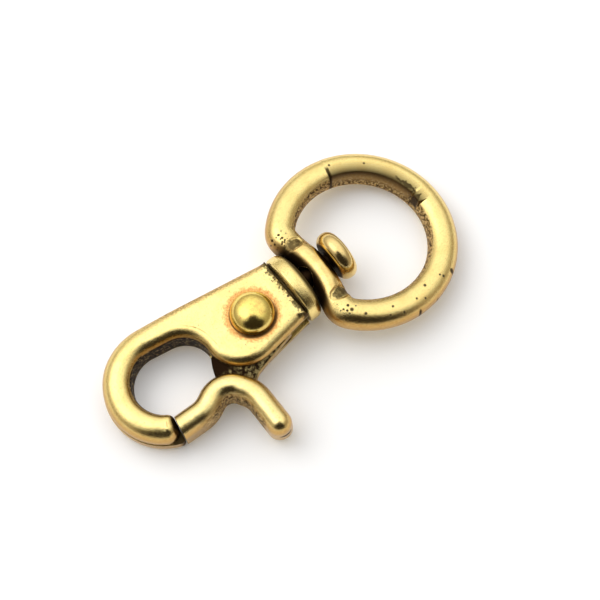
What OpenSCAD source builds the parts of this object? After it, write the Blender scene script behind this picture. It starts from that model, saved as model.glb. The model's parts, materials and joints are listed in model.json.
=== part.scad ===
// Swivel snap hook with a sprung thumb lever, lying at rest on its hook, collar and ring.
// Millimetres. The swivel axis is X in the hook's own frame and the rivet stands at X = 0.

/* [Hook] */
// Thickness of the hook and its plate
body_t = 5.0; // [4:0.1:7]
// Distance from the rivet to the hook's centre
hook_reach = 14.5; // [13:0.1:18]
// Outer radius of the hook
hook_outer_r = 8.15; // [7.6:0.05:9]
// Inner radius of the hook
hook_inner_r = 4.5; // [4:0.05:5]
// Shift of the inner circle towards the plate
hook_inner_shift = 0.3; // [0:0.05:0.6]
// Distance from the hook's centre to the nose's end face
nose_set = 1.95; // [1.6:0.05:2.4]
// Lean of the nose's end face
nose_lean = 9; // [0:1:12]
// Rounding of the nose's outer corner
nose_outer_round = 1.7; // [1.3:0.05:1.8]
// Rounding of the nose's inner corner
nose_inner_round = 0.9; // [0.7:0.05:1.1]
// Distance from the rivet to the throat's inner end circle
throat_reach = 11.4; // [10.8:0.1:12]
// Radius of the throat's inner end
throat_end_r = 4.0; // [3.6:0.05:4.3]
// Rounding of the hook's edges
hook_edge = 1.45; // [0.8:0.05:1.6]

/* [Plate] */
// Offset of the lobe's centre behind the rivet
lobe_x = 2.2; // [1.8:0.1:2.6]
// Offset of the lobe's centre below the swivel axis
lobe_y = 0.5; // [0.2:0.05:0.8]
// Distance from the rivet to the plate's neck end
plate_end = 5.4; // [5.2:0.05:5.7]
// Half width of the plate at its neck end
plate_half_w = 4.65; // [4.3:0.05:5]
// Rounding of the plate's edges
plate_edge = 1.0; // [0.5:0.05:1.3]
// Height of the slot between the cheeks
slot_h = 2.4; // [2.2:0.05:2.8]
// Radius of the slot round the rivet
slot_r = 4.6; // [4.3:0.05:4.7]

/* [Neck and collar] */
// Half width of the neck groove
neck_half_w = 4.0; // [3.5:0.05:4.3]
// Half height of the neck groove
neck_half_h = 2.1; // [1.8:0.05:2.3]
// Width of the groove
neck_w = 0.55; // [0.4:0.05:0.9]
// Half width of the collar
collar_half_w = 5.05; // [4.7:0.05:5.3]
// Half height of the collar
collar_half_h = 4.2; // [3.2:0.05:4.8]
// Thickness of the collar at its rim
collar_w = 2.0; // [1.6:0.05:2.3]
// Rise of the collar's face towards the ring
collar_dome = 0.45; // [0.2:0.05:0.6]

/* [Lever] */
// Width of the lever's bar
lever_w = 3.4; // [2.8:0.05:3.6]
// Thickness of the lever's bar
lever_t = 5.0; // [4:0.1:6]
// Rounding of the lever's edges
lever_edge = 1.5; // [0.8:0.05:1.6]
// Distance of the gate's middle line below the swivel axis
gate_drop = 6.2; // [6:0.05:6.6]
// Distance from the rivet to the crest's corner
crest_reach = 8.4; // [8:0.05:8.7]
// Distance of the crest's corner below the swivel axis
crest_drop = 4.25; // [4.1:0.05:4.6]
// Radius of the bar's middle line over the crest
crest_round = 3.0; // [2.4:0.05:3.3]
// Radius of the bar's middle line at the gate and at the tab
lever_bend = 4; // [3:0.1:4.6]
// Distance of the thumb tab's middle line behind the rivet
tab_x = 6.0; // [5.6:0.05:6.4]
// Reach of the thumb tab below the swivel axis
tab_reach = 15.25; // [14:0.05:17]
// Thickness of the web between the cheeks
web_t = 1.25; // [1:0.05:1.35]
// Radius of the web round the rivet
web_r = 3.9; // [3.4:0.05:4.1]
// Reach of the web's corner from the rivet
web_corner_r = 5.5; // [5.2:0.05:5.6]
// Opening angle of the lever
open_angle = 22; // [12:1:24]

/* [Rivet and spring] */
// Diameter of the rivet's shank
rivet_d = 3.0; // [2.4:0.1:3.2]
// Offset of the rivet below the swivel axis
rivet_drop = 0.25; // [0:0.05:0.4]
// Diameter of the rivet's head
rivet_head_d = 5.95; // [5:0.05:6.6]
// Height of the head's dome
rivet_dome = 2.15; // [1.2:0.05:2.6]
// Height of the straight rim under the dome
rivet_rim = 0.35; // [0.2:0.05:0.6]
// Diameter of the rivet's tail
rivet_tail_d = 4.6; // [4:0.1:5.4]
// Height of the rivet's tail
rivet_tail = 0.6; // [0.3:0.05:0.9]
// Diameter of the spring's wire
spring_wire = 0.4; // [0.3:0.01:0.42]
// Radius of the spring's coil to the wire's middle
spring_r = 2.3; // [2.1:0.05:2.6]

/* [Ring and stud] */
// Distance from the bar's middle line to the ring's centre
ring_set = 7.7; // [6.8:0.05:8.4]
// Radius of the ring's opening
ring_inner_r = 9.05; // [8.6:0.05:9.6]
// Width of the ring's section
ring_w = 4.1; // [3.6:0.05:4.4]
// Height of the ring's section
ring_h = 4.05; // [3.4:0.05:4.6]
// Rounding of the ring's edges
ring_edge = 1.75; // [1:0.05:1.8]
// Width of the bar
bar_w = 3.4; // [3:0.05:3.5]
// Height of the bar
bar_h = 4.9; // [4.7:0.05:5.6]
// Rounding of the bar's edges
bar_edge = 1.45; // [0.8:0.05:1.5]
// Radius of the bar's bow into the ring
bar_bow_r = 14; // [13:0.5:16]
// Depth of the cut-back in the ring's inner wall
ring_recess = 0.45; // [0.2:0.05:0.7]
// Start angle of the cut-back
recess_from = 10; // [0:1:30]
// End angle of the cut-back
recess_to = 78; // [50:1:100]
// Diameter of the stud's shank
stud_d = 2.4; // [2:0.05:2.6]
// Diameter of the stud's head
stud_head_d = 7.1; // [6:0.05:7.6]
// Thickness of the stud's head
stud_head_w = 2.6; // [2:0.05:3]

/* [Clearances] */
// Radial clearance of the web on the rivet
pivot_clear = 0.05; // [0.02:0.01:0.1]
// Radial clearance of a fixed shank in its hole
seat_clear = 0.02; // [0.01:0.01:0.05]
// Gap between the nose and the gate
gate_gap = 0.45; // [0.35:0.05:0.8]
// Gap between the collar and the bar
bar_gap = 0.7; // [0.6:0.05:1]
// Gap between the web and the cheek above it
web_clear = 0.12; // [0.08:0.01:0.2]
// Gap left round the stud when the ring hangs to its rest
swivel_clear = 0.1; // [0.05:0.01:0.2]
// Gap between the stud's head and the bar
head_clear = 0.15; // [0.1:0.01:0.3]

/* [Hidden] */
$fn = 72;
half_t = body_t / 2;
hook_c = [-hook_reach, 0];
inner_c = [-hook_reach + hook_inner_shift, 0];
throat_c = [-throat_reach, 0];
lobe_c = [-lobe_x, -lobe_y];
lobe_r = norm(lobe_c - throat_c) - throat_end_r;
rivet_c = [0, -rivet_drop];
spine_end = [plate_end, plate_half_w];
belly_end = [plate_end, -plate_half_w];

collar_x = plate_end + neck_w;
collar_face = collar_x + collar_w;
collar_tip = collar_face + collar_dome;

bar_reach = collar_tip + bar_gap + bar_w / 2;
ring_reach = bar_reach + ring_set;
ring_outer_r = ring_inner_r + ring_w;
ring_mid_r = ring_inner_r + ring_w / 2;
bow_far = ring_set + bar_bow_r;
bar_turn = acos((pow(bow_far, 2) + pow(bar_bow_r, 2) - pow(ring_mid_r, 2)) / (2 * bow_far * bar_bow_r));
bow_c = [bar_reach - bar_bow_r, 0];

pitch = atan((collar_half_h - half_t) / (collar_x + collar_w / 2 + hook_reach + hook_outer_r - hook_edge));
rest_z = half_t * cos(pitch) + (hook_reach + hook_outer_r - hook_edge) * sin(pitch);
bar_z = rest_z + bar_reach * sin(pitch);
ring_arm = ring_reach + ring_outer_r - ring_edge - bar_reach;
droop = asin(bar_z / norm([ring_arm, ring_h / 2])) - atan2(ring_h / 2, ring_arm);
slant = pitch + droop;
hole_r = stud_d / 2 / cos(slant) + bar_w / 2 * tan(slant) + swivel_clear;
bar_lean = (bar_w / 2 - bar_edge) * cos(slant) + (bar_h / 2 - bar_edge) * sin(slant) + bar_edge;
head_x = bar_reach + bar_lean + head_clear;

far_x = bar_reach * cos(pitch) + (ring_reach + ring_outer_r - bar_reach) * cos(droop);
near_x = -(hook_reach + hook_outer_r) * cos(pitch);
mid_x = (far_x + near_x) / 2;
mid_y = (ring_outer_r - tab_reach) / 2;

web_top = slot_h / 2 - web_clear;
web_angle = -62;
slot_angle = web_angle + open_angle + 5;
rim_steps = 3;

// Points of an arc from one angle to another
function arc(c, r, from, to, n) =
    [for (i = [0 : n]) c + r * [cos(from + (to - from) * i / n), sin(from + (to - from) * i / n)]];

// Points on a straight line, its start left out
function line_to(a, b, n) = [for (i = [1 : n]) a + (b - a) * i / n];

// Heading from a point to where a line touches a circle, on the left or right side
function touch_heading(p, c, r, side) =
    atan2(c[1] - p[1], c[0] - p[0]) + side * asin(r / norm(c - p));

// Angle brought into one full turn
function one_turn(a) = a - 360 * floor(a / 360);

// Arc that rounds the corner at b between a and c
function corner(a, b, c, r, n) =
    let (u = (a - b) / norm(a - b))
    let (v = (c - b) / norm(c - b))
    let (half = acos(u * v) / 2)
    let (m = b + (u + v) / norm(u + v) * r / sin(half))
    let (p = b + u * r / tan(half))
    let (q = b + v * r / tan(half))
    let (s = atan2(p[1] - m[1], p[0] - m[0]))
    let (e = atan2(q[1] - m[1], q[0] - m[0]))
    let (turn = e - s > 180 ? e - s - 360 : e - s < -180 ? e - s + 360 : e - s)
    arc(m, r, s, s + turn, n);

// Inward normals of a closed outline that runs counterclockwise
function inward(pts) =
    let (n = len(pts))
    [for (i = [0 : n - 1])
        let (d = pts[(i + 1) % n] - pts[(i + n - 1) % n])
        [-d[1], d[0]] / norm(d)];

// Slab between two chains of points, its edges rounded by a width given for each pair
// The end where the chains start can be cut flat
module soft_slab(right, left, thick, edges, flat_end = false) {
    n = len(right);
    loop = concat(right, [for (i = [n - 1 : -1 : 0]) left[i]]);
    round = concat(edges, [for (i = [n - 1 : -1 : 0]) edges[i]]);
    m = 2 * n;
    across = (left[0] - right[0]) / norm(left[0] - right[0]);
    start = (right[1] - right[0]) / norm(right[1] - right[0]);
    slide = across / (across * [-start[1], start[0]]);
    plain = inward(loop);
    inner = [for (i = [0 : m - 1]) flat_end && i == 0 ? slide : flat_end && i == m - 1 ? -slide : plain[i]];
    low = [for (k = [0 : rim_steps]) 90 * k / rim_steps];
    levels = concat([for (a = low) [-1, a]], [for (k = [rim_steps : -1 : 0]) [1, low[k]]]);
    rows = len(levels);
    points = [for (l = levels) for (i = [0 : m - 1])
        let (p = loop[i] + inner[i] * round[i] * (1 - sin(l[1])))
        [p[0], p[1], l[0] * (thick / 2 - round[i] * (1 - cos(l[1])))]];
    walls = [for (r = [0 : rows - 2]) for (i = [0 : m - 1]) for (t = [0 : 1])
        let (a = r * m + i)
        let (b = r * m + (i + 1) % m)
        t == 0 ? [a, b + m, b] : [a, a + m, b + m]];
    caps = [for (i = [0 : n - 2]) for (t = [0 : 3])
        let (j = m - 1 - i)
        let (top = (rows - 1) * m)
        t == 0 ? [i, i + 1, j - 1] :
        t == 1 ? [i, j - 1, j] :
        t == 2 ? [top + i, top + j - 1, top + i + 1] :
        [top + i, top + j, top + j - 1]];
    polyhedron(points, concat(walls, caps));
}

// Solid through oval rings given as [x, half width, half height], closed at both ends
module oval_loft(rings, steps) {
    n = len(rings);
    points = concat(
        [for (g = rings) for (i = [0 : steps - 1])
            [g[0], g[1] * cos(360 * i / steps), g[2] * sin(360 * i / steps)]],
        [[rings[0][0], 0, 0], [rings[n - 1][0], 0, 0]]);
    sides = [for (r = [0 : n - 2]) for (i = [0 : steps - 1]) for (t = [0 : 1])
        let (a = r * steps + i)
        let (b = r * steps + (i + 1) % steps)
        t == 0 ? [a, b + steps, b] : [a, a + steps, b + steps]];
    ends = [for (i = [0 : steps - 1]) for (t = [0 : 1])
        let (k = (i + 1) % steps)
        let (last = (n - 1) * steps)
        t == 0 ? [n * steps, i, k] : [n * steps + 1, last + k, last + i]];
    polyhedron(points, concat(sides, ends));
}

// Round wire along a list of points
module wire(path, d, sides) {
    n = len(path);
    points = [for (i = [0 : n - 1])
        let (t = path[min(i + 1, n - 1)] - path[max(i - 1, 0)])
        let (out = [t[1], -t[0], 0] / norm([t[1], -t[0], 0]))
        let (up = cross(out, t) / norm(cross(out, t)))
        for (k = [0 : sides - 1])
            path[i] + d / 2 * (cos(360 * k / sides) * out + sin(360 * k / sides) * up)];
    around = [for (i = [0 : n - 2]) for (k = [0 : sides - 1]) for (t = [0 : 1])
        let (a = i * sides + k)
        let (b = i * sides + (k + 1) % sides)
        t == 0 ? [a, b + sides, b] : [a, a + sides, b + sides]];
    ends = [[for (k = [0 : sides - 1]) k], [for (k = [sides - 1 : -1 : 0]) (n - 1) * sides + k]];
    polyhedron(points, concat(around, ends));
}

// Half of a rounded rectangle's corner points, all round, for a revolved section
function soft_section(mid, w, h, r) =
    [for (q = [0 : 3]) for (k = [0 : 4])
        let (a = 90 * q + 22.5 * k)
        let (sx = q == 0 || q == 3 ? 1 : -1)
        let (sy = q < 2 ? 1 : -1)
        [mid + sx * (w / 2 - r) + r * cos(a), sy * (h / 2 - r) + r * sin(a)]];

module at_rest() {
    translate([-mid_x, -mid_y, rest_z])
        rotate([0, -pitch, 0])
            children();
}

module ring_at_rest() {
    at_rest()
        translate([bar_reach, 0, 0])
            rotate([0, slant, 0])
                translate([-bar_reach, 0, 0])
                    children();
}

// Chains of the hook: from the nose round the hook and along the plate to the neck
spine_touch = one_turn(touch_heading(spine_end, hook_c, hook_outer_r, -1) - 90);
throat_touch = acos((hook_inner_r - throat_end_r) / norm(throat_c - inner_c));
lobe_dir = lobe_c - throat_c;
lobe_touch = atan2(lobe_dir[1], lobe_dir[0]);
belly_touch = one_turn(touch_heading(belly_end, lobe_c, lobe_r, 1) + 90);
nose_out = [cos(nose_lean), -sin(nose_lean)];
nose_down = [-sin(nose_lean), -cos(nose_lean)];
nose_mid = [-hook_reach - nose_set, -(hook_outer_r + hook_inner_r) / 2 * 0.91];
nose_at = nose_out * nose_mid;
outer_in = nose_at - nose_outer_round - nose_out * hook_c;
outer_drop = sqrt(pow(hook_outer_r - nose_outer_round, 2) - pow(outer_in, 2));
outer_c = hook_c + outer_in * nose_out + outer_drop * nose_down;
inner_in = nose_at - nose_inner_round - nose_out * inner_c;
inner_drop = sqrt(pow(hook_inner_r + nose_inner_round, 2) - pow(inner_in, 2));
corner_c = inner_c + inner_in * nose_out + inner_drop * nose_down;
outer_from = one_turn(atan2(outer_c[1] - hook_c[1], outer_c[0] - hook_c[0]));
inner_from = one_turn(atan2(corner_c[1] - inner_c[1], corner_c[0] - inner_c[0]));
outer_corner = arc(outer_c, nose_outer_round, -nose_lean, outer_from - 360, 5);
inner_corner = arc(corner_c, nose_inner_round, -nose_lean, inner_from - 180, 5);
outer_arc = arc(hook_c, hook_outer_r, outer_from, spine_touch, 26);
inner_arc = arc(inner_c, hook_inner_r, inner_from, throat_touch, 26);
throat_arc = arc(throat_c, throat_end_r, throat_touch, lobe_touch, 9);
lobe_arc = arc(lobe_c, lobe_r, 180 + lobe_touch, belly_touch, 11);
outer_chain = concat(
    [for (k = [0 : 4]) outer_corner[k]],
    outer_arc,
    line_to(outer_arc[26], spine_end, 23));
inner_chain = concat(
    [for (k = [0 : 4]) inner_corner[k]],
    inner_arc,
    throat_arc,
    [for (i = [1 : 11]) lobe_arc[i]],
    line_to(lobe_arc[11], belly_end, 2));
nose_edge = min(hook_edge, nose_inner_round * 0.85);
hook_edges = [for (i = [0 : len(outer_chain) - 1])
    i < 5 ? nose_edge :
    i < 9 ? nose_edge + (hook_edge - nose_edge) * (i - 4) / 5 :
    i < 30 ? hook_edge : i > 40 ? plate_edge : hook_edge + (plate_edge - hook_edge) * (i - 30) / 10];

// Middle line of the lever's bar, from the gate's free end over the crest to the thumb tab
gate_at = nose_at + gate_gap;
gate_y = -gate_drop + 0.05;
gate_free = [(gate_at - nose_out[1] * gate_y) / nose_out[0], gate_y];
gate_turn = [(gate_free[0] - crest_reach) / 2, -gate_drop - 0.1];
gate_dir = (gate_turn - gate_free) / norm(gate_turn - gate_free);
crest_at = [-crest_reach, -crest_drop];
tab_turn = [-tab_x, -crest_drop - 4.2];
tab_free = [-tab_x - 0.05, -tab_reach + lever_w / 2];
lever_line = concat(
    [gate_free],
    corner(gate_free, gate_turn, crest_at, lever_bend, 7),
    corner(gate_turn, crest_at, tab_turn, crest_round, 11),
    corner(crest_at, tab_turn, tab_free, lever_bend, 7),
    [tab_free]);
lever_count = len(lever_line);
lever_side = [for (i = [0 : lever_count - 1])
    let (d = lever_line[min(i + 1, lever_count - 1)] - lever_line[max(i - 1, 0)])
    [-d[1], d[0]] / norm(d)];
tab_dir = (tab_free - tab_turn) / norm(tab_free - tab_turn);
tab_side = lever_side[lever_count - 1];
tab_turns = [for (k = [1 : 5]) 90 - 16.4 * k];

// Point slid along the gate until it lies on the gate's end face
function on_gate_end(p) = p + gate_dir * (gate_at - nose_out * p) / (nose_out * gate_dir);

lever_left = concat(
    [on_gate_end(gate_free + lever_side[0] * lever_w / 2)],
    [for (i = [1 : lever_count - 1]) lever_line[i] + lever_side[i] * lever_w / 2],
    [for (a = tab_turns) tab_free + lever_w / 2 * (cos(a) * tab_dir + sin(a) * tab_side)]);
lever_right = concat(
    [on_gate_end(gate_free - lever_side[0] * lever_w / 2)],
    [for (i = [1 : lever_count - 1]) lever_line[i] - lever_side[i] * lever_w / 2],
    [for (a = tab_turns) tab_free + lever_w / 2 * (cos(a) * tab_dir - sin(a) * tab_side)]);

web_corner = rivet_c + web_corner_r * [cos(web_angle), sin(web_angle)];
web_outline = [
    rivet_c,
    rivet_c + [-3.3, 0.7],
    [-crest_reach - 0.2, -1.7],
    [-crest_reach - 0.6, -crest_drop - 0.25],
    [-tab_x + 0.7, -crest_drop - 3.2],
    [-tab_x + 2.1, -crest_drop - 2.4],
    web_corner];
slot_outline = [
    rivet_c,
    rivet_c + [-3.3, 1.4],
    [-crest_reach - 1.2, -1.2],
    [-crest_reach - 1.2, -2 * gate_drop],
    rivet_c + 2 * gate_drop * [cos(slot_angle), sin(slot_angle)]];

collar_rings = [
    [plate_end - 0.9, neck_half_w, neck_half_h],
    [collar_x, neck_half_w, neck_half_h],
    [collar_x + 0.01, collar_half_w - 0.5, collar_half_h - 0.5],
    [collar_x + 0.18, collar_half_w - 0.13, collar_half_h - 0.13],
    [collar_x + 0.5, collar_half_w, collar_half_h],
    [collar_face - 0.6, collar_half_w, collar_half_h],
    [collar_face - 0.2, collar_half_w - 0.16, collar_half_h - 0.16],
    [collar_face, collar_half_w - 0.6, collar_half_h - 0.6],
    [collar_face + collar_dome * 0.6, collar_half_w * 0.6, collar_half_h * 0.6],
    [collar_tip, stud_d / 2 + 0.4, stud_d / 2 + 0.4]];

module hook_body() {
    color([0.80, 0.66, 0.32])
        at_rest()
            difference() {
                union() {
                    soft_slab(inner_chain, outer_chain, body_t, hook_edges);
                    oval_loft(collar_rings, 40);
                }
                translate([0, 0, -slot_h / 2])
                    linear_extrude(slot_h)
                        polygon(slot_outline);
                translate([rivet_c[0], rivet_c[1], -slot_h / 2])
                    cylinder(r = slot_r, h = slot_h);
                translate([rivet_c[0], rivet_c[1], -body_t])
                    cylinder(r = rivet_d / 2 + seat_clear, h = 2 * body_t);
                translate([collar_x, 0, 0])
                    rotate([0, 90, 0])
                        cylinder(r = stud_d / 2 + seat_clear, h = collar_w + 2);
            }
}

module trigger_lever() {
    color([0.82, 0.68, 0.33])
        at_rest()
            difference() {
                union() {
                    soft_slab(
                        lever_right, lever_left, lever_t, [for (p = lever_left) lever_edge], true);
                    translate([0, 0, web_top - web_t])
                        linear_extrude(web_t)
                            polygon(web_outline);
                    translate([rivet_c[0], rivet_c[1], web_top - web_t])
                        cylinder(r = web_r, h = web_t);
                }
                translate([rivet_c[0], rivet_c[1], -body_t])
                    cylinder(r = rivet_d / 2 + pivot_clear, h = 2 * body_t);
            }
}

module pivot_rivet() {
    head_r = rivet_head_d / 2;
    tail_r = rivet_tail_d / 2;
    color([0.84, 0.66, 0.26])
        at_rest()
            translate([rivet_c[0], rivet_c[1], 0])
                rotate_extrude()
                    polygon(concat(
                        [for (k = [0 : 9]) [
                            head_r * sin(10 * k),
                            half_t + rivet_rim + rivet_dome * cos(10 * k)]],
                        [[head_r, half_t], [rivet_d / 2, half_t], [rivet_d / 2, -half_t]],
                        [[tail_r, -half_t], [tail_r, -half_t - rivet_tail * 0.5]],
                        [[tail_r * 0.8, -half_t - rivet_tail], [0, -half_t - rivet_tail]]));
}

module torsion_spring() {
    low = -slot_h / 2 + spring_wire / 2 + 0.06;
    rise = spring_wire + 0.03;
    coil = [for (i = [0 : 30])
        [spring_r * cos(60 + 12 * i), spring_r * sin(60 + 12 * i), low + rise * i / 30]];
    fixed_leg = coil[0] + (sqrt(pow(slot_r - 0.1, 2) - pow(spring_r, 2))) * [sin(60), -cos(60), 0];
    free_leg = coil[30] + 1.6 * [-sin(60), cos(60), 0];
    color([0.45, 0.43, 0.40])
        at_rest()
            translate([rivet_c[0], rivet_c[1], 0])
                wire(concat([fixed_leg], coil, [free_leg]), spring_wire, 8);
}

module swivel_ring() {
    color([0.80, 0.65, 0.30])
        ring_at_rest()
            difference() {
                union() {
                    difference() {
                        translate([ring_reach, 0, 0])
                            rotate_extrude()
                                polygon(soft_section(ring_mid_r, ring_w, ring_h, ring_edge));
                        translate([bow_c[0], 0, -ring_h])
                            cylinder(r = bar_bow_r - bar_w / 2 + 0.5, h = 2 * ring_h);
                    }
                    translate([bow_c[0], 0, 0])
                        rotate([0, 0, -bar_turn])
                            rotate_extrude(angle = 2 * bar_turn)
                                polygon(soft_section(bar_bow_r, bar_w, bar_h, bar_edge));
                }
                translate([bar_reach - bar_w, 0, 0])
                    rotate([0, 90, 0])
                        cylinder(r = hole_r, h = 2 * bar_w);
                translate([ring_reach, 0, -ring_h])
                    rotate([0, 0, recess_from])
                        rotate_extrude(angle = recess_to - recess_from)
                            translate([ring_inner_r - 1, 0])
                                square([1 + ring_recess, 2 * ring_h]);
            }
}

module swivel_stud() {
    head_r = stud_head_d / 2;
    edge = stud_head_w * 0.45;
    color([0.78, 0.60, 0.28])
        at_rest()
            translate([collar_x, 0, 0])
                rotate([0, 90, 0])
                    rotate_extrude()
                        polygon(concat(
                            [[0, 0], [stud_d / 2, 0], [stud_d / 2, head_x - collar_x]],
                            [for (k = [0 : 5]) [
                                head_r - edge + edge * sin(18 * k),
                                head_x - collar_x + edge - edge * cos(18 * k)]],
                            [for (k = [1 : 5]) [
                                head_r - edge + edge * cos(18 * k),
                                head_x - collar_x + stud_head_w - edge + edge * sin(18 * k)]],
                            [[head_r * 0.3, head_x - collar_x + stud_head_w + 0.12]],
                            [[0, head_x - collar_x + stud_head_w + 0.14]]));
}

hook_body();
trigger_lever();
pivot_rivet();
torsion_spring();
swivel_ring();
swivel_stud();
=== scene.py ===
"""Swivel snap hook in patinated cast brass, lying on a white surface.

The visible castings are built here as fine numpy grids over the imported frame: slabs with rounded edges
for the hook and the lever, a polar sweep for the ring, and turned profiles for the rivet and the stud.
Lengths are millimetres in a piece's own frame; the floor, the lamp and the camera are placed in metres.
"""
import json
import math
import bpy
import numpy as np
from mathutils import Matrix


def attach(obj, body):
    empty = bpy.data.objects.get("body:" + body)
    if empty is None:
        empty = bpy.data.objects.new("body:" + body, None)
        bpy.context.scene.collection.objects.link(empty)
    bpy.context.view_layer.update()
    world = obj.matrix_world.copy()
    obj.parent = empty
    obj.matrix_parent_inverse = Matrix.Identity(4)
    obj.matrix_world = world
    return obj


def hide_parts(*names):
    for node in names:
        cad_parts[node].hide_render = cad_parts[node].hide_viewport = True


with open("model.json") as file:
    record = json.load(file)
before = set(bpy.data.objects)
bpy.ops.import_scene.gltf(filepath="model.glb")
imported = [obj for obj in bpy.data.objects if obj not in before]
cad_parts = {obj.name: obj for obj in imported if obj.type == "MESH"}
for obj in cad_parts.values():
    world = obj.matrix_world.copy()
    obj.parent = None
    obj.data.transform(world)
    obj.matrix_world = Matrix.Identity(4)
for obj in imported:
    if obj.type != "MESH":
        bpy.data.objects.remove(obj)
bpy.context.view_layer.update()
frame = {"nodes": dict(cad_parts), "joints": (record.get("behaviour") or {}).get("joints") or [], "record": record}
joints = {j["name"]: j for j in frame["joints"]}
mounts = {m["name"]: m for m in frame["record"]["mounts"]}

# A piece's frame is a pair: its origin in metres and its three axes.
# Hook frame: X along the swivel axis, Z along the rivet, origin on the swivel axis beside the rivet.
axis_x = np.array(joints["ring_swivel"]["axis"], float)
axis_z = np.array(joints["lever_pivot"]["axis"], float)
axis_y = np.cross(axis_z, axis_x)
pivot = np.array(joints["lever_pivot"]["pos_m"], float)
swivel = np.array(joints["ring_swivel"]["pos_m"], float)
HOOK_FRAME = (swivel + ((pivot - swivel) @ axis_x) * axis_x, np.stack([axis_x, axis_y, axis_z]))
# Ring frame: origin at the ring's centre, Z along the ring's own axis.
ring_z = np.array(mounts["ring_eye"]["axis"], float)
ring_at = np.array(mounts["ring_eye"]["pos_m"], float)
RING_FRAME = (ring_at, np.stack([np.cross(axis_y, ring_z), axis_y, ring_z]))

RIVET = np.array([0.0, -0.25])
# Half thickness of the plate, of the slabs that show it, and of the slot
HALF_T = 2.5
SKIN_T = HALF_T - 0.01
SLOT = 1.2
# Exponent of the rounded edges, the share of their size that lower ones keep, and the lift of the underside
POWER = 2.08
LOWER = 0.45
LIFT = 0.085

# Rows of a slab from the bottom up: rounding, flat, parting line as (height, inset), flat, rounding
QUARTER = 13
SEAM = ((-0.34, 0.0), (-0.27, 0.0), (-0.20, 0.17), (-0.14, 0.17), (-0.06, 0.09), (0.1, 0.09))
SEAM_INSET = 0.09
SEAM_ROOM = 0.42
SEAM_ROW = QUARTER + 3
TOP_ROW = QUARTER + len(SEAM) + 2
LAST_ROW = TOP_ROW + QUARTER - 1
# Lanes of a slab
RIGHT, LEFT, FAR_END, START, CAP = range(5)


def node_points(name, where):
    """Corner points of a CAD node in millimetres of a piece's own frame."""
    at, axes = where
    obj = frame["nodes"][name]
    co = np.empty(len(obj.data.vertices) * 3)
    obj.data.vertices.foreach_get("co", co)
    world = np.array(obj.matrix_world)
    return ((co.reshape(-1, 3) @ world[:3, :3].T + world[:3, 3]) - at) @ axes.T * 1000


def heading(v):
    """Direction of a vector in degrees."""
    return math.degrees(math.atan2(v[1], v[0]))


def arc(c, r, a0, a1, n):
    """Points of a circle's arc between two angles in degrees."""
    t = np.radians(np.linspace(a0, a1, n))
    return np.asarray(c) + r * np.stack([np.cos(t), np.sin(t)], 1)


def polar(c, r, angle):
    """Point at a distance and an angle in degrees from a centre."""
    return arc(c, r, angle, angle, 1)[0]


def corner(a, b, c, r, n):
    """Arc that rounds the corner at b between a and c."""
    a, b, c = map(np.asarray, (a, b, c))
    u, v = (a - b) / math.hypot(*(a - b)), (c - b) / math.hypot(*(c - b))
    half = math.acos(u @ v) / 2
    m = b + (u + v) / math.hypot(*(u + v)) * r / math.sin(half)
    a0, a1 = heading(b + u * r / math.tan(half) - m), heading(b + v * r / math.tan(half) - m)
    return arc(m, r, a0, a0 + (a1 - a0 + 180) % 360 - 180, n)


def resample(pts, n):
    """Points evenly spaced by length along a polyline."""
    pts = np.asarray(pts, float)
    s = np.concatenate([[0], np.cumsum(np.hypot(*np.diff(pts, axis=0).T))])
    t = np.linspace(0, s[-1], n)
    return np.stack([np.interp(t, s, pts[:, 0]), np.interp(t, s, pts[:, 1])], 1)


def smooth_loop(values, sigma):
    """Gaussian smoothing of a closed sequence of vectors, by the Fourier transform."""
    k = np.fft.fftfreq(len(values)) * 2 * math.pi
    damping = np.exp(-0.5 * (k * sigma) ** 2)[:, None]
    return np.real(np.fft.ifft(np.fft.fft(values, axis=0) * damping, axis=0))


def step(a, b, x):
    """0 at a, 1 at b and an S-curve between."""
    t = np.clip((np.asarray(x, float) - a) / (b - a), 0, 1)
    return t * t * (3 - 2 * t)


def soft_min(a, b, k):
    """Smaller of two fields with a rounded change-over of width k."""
    h = np.clip(0.5 + 0.5 * (b - a) / k, 0, 1)
    return b * (1 - h) + a * h - k * h * (1 - h)


def ripple(p, scale, seed):
    """Smooth pseudo-random field in about -1 to 1: a sum of sines in turned directions."""
    rng = np.random.default_rng(seed)
    out = np.zeros(len(p))
    for i in range(7):
        d = rng.normal(size=p.shape[1])
        d *= (0.6 + 0.25 * i) / scale / np.linalg.norm(d)
        out += np.sin(p @ d * 2 * math.pi + rng.uniform(0, 6.28)) / (1 + 0.35 * i)
    return out / 3.2


def build_mesh(name, verts, faces, where, masks):
    """Mesh from millimetre points. The points and the masks are kept as attributes, and the side mask
    tells how far the surface leans away from flat, which the brass paints as tan shade."""
    at, axes = where
    verts = np.asarray(verts, float)
    mesh = bpy.data.meshes.new(name)
    mesh.from_pydata((at + verts * 0.001 @ axes).tolist(), [], faces)
    mesh.update()
    normals = np.empty(len(verts) * 3, np.float32)
    mesh.vertex_normals.foreach_get("vector", normals)
    flat = np.abs(normals.reshape(-1, 3) @ axes[2])
    masks = {"rough": 0, "dark": 0, "warm": 0, "side": step(0.95, 0.40, flat), **masks}
    part = mesh.attributes.new("part_mm", "FLOAT_VECTOR", "POINT")
    part.data.foreach_set("vector", verts.astype(np.float32).ravel())
    for key, val in masks.items():
        val = np.broadcast_to(np.clip(val, 0, 1), len(verts)).astype(np.float32)
        mesh.attributes.new(key, "FLOAT", "POINT").data.foreach_set("value", val)
    mesh.polygons.foreach_set("use_smooth", np.ones(len(mesh.polygons), bool))
    return mesh


def show(name, mesh, material):
    """Object at the origin that shows a mesh in one material."""
    mesh.materials.append(material)
    obj = bpy.data.objects.new(name, mesh)
    bpy.context.scene.collection.objects.link(obj)
    return obj


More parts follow.
